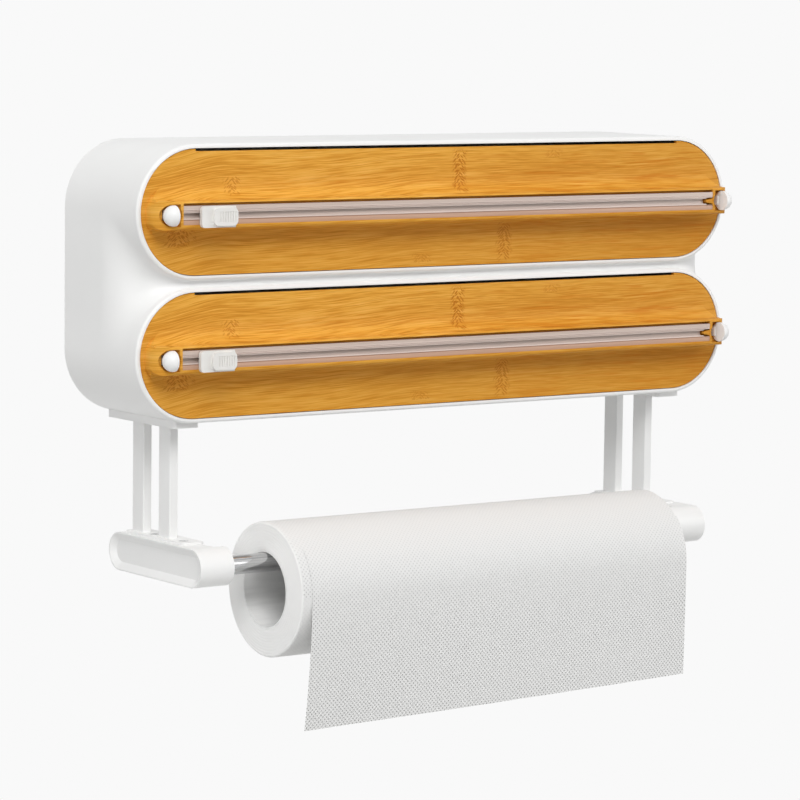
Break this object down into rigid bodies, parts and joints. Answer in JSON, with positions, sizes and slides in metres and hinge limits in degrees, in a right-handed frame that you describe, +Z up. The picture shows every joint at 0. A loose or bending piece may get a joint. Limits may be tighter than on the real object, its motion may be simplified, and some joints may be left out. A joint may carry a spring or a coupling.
{
  "type": "cling film and towel dispenser",
  "caption": "Wall-mounted kitchen dispenser with two pull-out film drawers, sliding film cutters, squeeze buttons and a paper towel roll on a bar hung below on posts.",
  "frame": {"origin": "middle of the flat back face, which lies against the wall", "axes": "+X to the right seen from the front, -Y out of the wall towards the user, +Z up"},
  "size_m": [0.3858, 0.1196, 0.3014],
  "materials": {
    "white_plastic": "satin",
    "bamboo_print": "satin bamboo pattern",
    "clear_plastic": "clear, ribbed",
    "steel": "bright",
    "bright_steel": "polished",
    "core_board": "plain",
    "tissue": "embossed"
  },
  "bodies": {
    "cabinet": {"housing": "white_plastic", "back_cover": "white_plastic", "back_cover_screws": "steel", "left_top_plate": "white_plastic", "right_top_plate": "white_plastic", "left_front_post": "white_plastic", "left_back_post": "white_plastic", "right_front_post": "white_plastic", "right_back_post": "white_plastic", "left_arm_plate": "white_plastic", "right_arm_plate": "white_plastic", "left_arm": "white_plastic", "right_arm": "white_plastic", "top_plate_screws": "steel", "arm_screws": "steel", "bar_spring": "steel", "paper_tail": "tissue"},
    "upper_drawer": {"upper_front_panel": "bamboo_print", "upper_drawer_tray": "white_plastic", "upper_panel_screws": "steel", "upper_cutter_rail": "clear_plastic", "upper_left_button_spring": "steel", "upper_right_button_spring": "steel"},
    "lower_drawer": {"lower_front_panel": "bamboo_print", "lower_drawer_tray": "white_plastic", "lower_panel_screws": "steel", "lower_cutter_rail": "clear_plastic", "lower_left_button_spring": "steel", "lower_right_button_spring": "steel"},
    "upper_cutter": {"upper_slider": "white_plastic", "upper_slider_blade": "steel"},
    "lower_cutter": {"lower_slider": "white_plastic", "lower_slider_blade": "steel"},
    "upper_left_button": {"upper_left_button": "white_plastic"},
    "upper_right_button": {"upper_right_button": "white_plastic"},
    "lower_left_button": {"lower_left_button": "white_plastic"},
    "lower_right_button": {"lower_right_button": "white_plastic"},
    "towel_bar": {"towel_bar": "bright_steel", "bar_end_plugs": "white_plastic"},
    "paper_roll": {"roll_core": "core_board", "paper_roll": "tissue"}
  },
  "joints": [
    {"name": "upper_drawer_slide", "type": "slide", "parent": "cabinet", "child": "upper_drawer", "axis": [0, -1, 0], "range_m": [0, 0.055]},
    {"name": "lower_drawer_slide", "type": "slide", "parent": "cabinet", "child": "lower_drawer", "axis": [0, -1, 0], "range_m": [0, 0.055]},
    {"name": "upper_cutter_slide", "type": "slide", "parent": "upper_drawer", "child": "upper_cutter", "axis": [1, 0, 0], "range_m": [-0.009, 0.314]},
    {"name": "lower_cutter_slide", "type": "slide", "parent": "lower_drawer", "child": "lower_cutter", "axis": [1, 0, 0], "range_m": [-0.009, 0.314]},
    {"name": "upper_left_button_press", "type": "slide", "parent": "upper_drawer", "child": "upper_left_button", "axis": [1, 0, 0], "range_m": [0, 0.0016], "stiffness_N_per_m": 500, "springref_m": -0.002, "deforming": ["upper_left_button_spring"]},
    {"name": "upper_right_button_press", "type": "slide", "parent": "upper_drawer", "child": "upper_right_button", "axis": [-1, 0, 0], "range_m": [0, 0.0016], "stiffness_N_per_m": 500, "springref_m": -0.002, "deforming": ["upper_right_button_spring"]},
    {"name": "lower_left_button_press", "type": "slide", "parent": "lower_drawer", "child": "lower_left_button", "axis": [1, 0, 0], "range_m": [0, 0.0016], "stiffness_N_per_m": 500, "springref_m": -0.002, "deforming": ["lower_left_button_spring"]},
    {"name": "lower_right_button_press", "type": "slide", "parent": "lower_drawer", "child": "lower_right_button", "axis": [-1, 0, 0], "range_m": [0, 0.0016], "stiffness_N_per_m": 500, "springref_m": -0.002, "deforming": ["lower_right_button_spring"]},
    {"name": "towel_bar_push", "type": "slide", "parent": "cabinet", "child": "towel_bar", "axis": [-1, 0, 0], "range_m": [0, 0.0058], "stiffness_N_per_m": 300, "springref_m": -0.006, "deforming": ["bar_spring"]},
    {"name": "paper_roll_turn", "type": "hinge", "parent": "cabinet", "child": "paper_roll", "pos_m": [0.00575, -0.083, -0.1593], "axis": [1, 0, 0], "continuous": true}
  ]
}
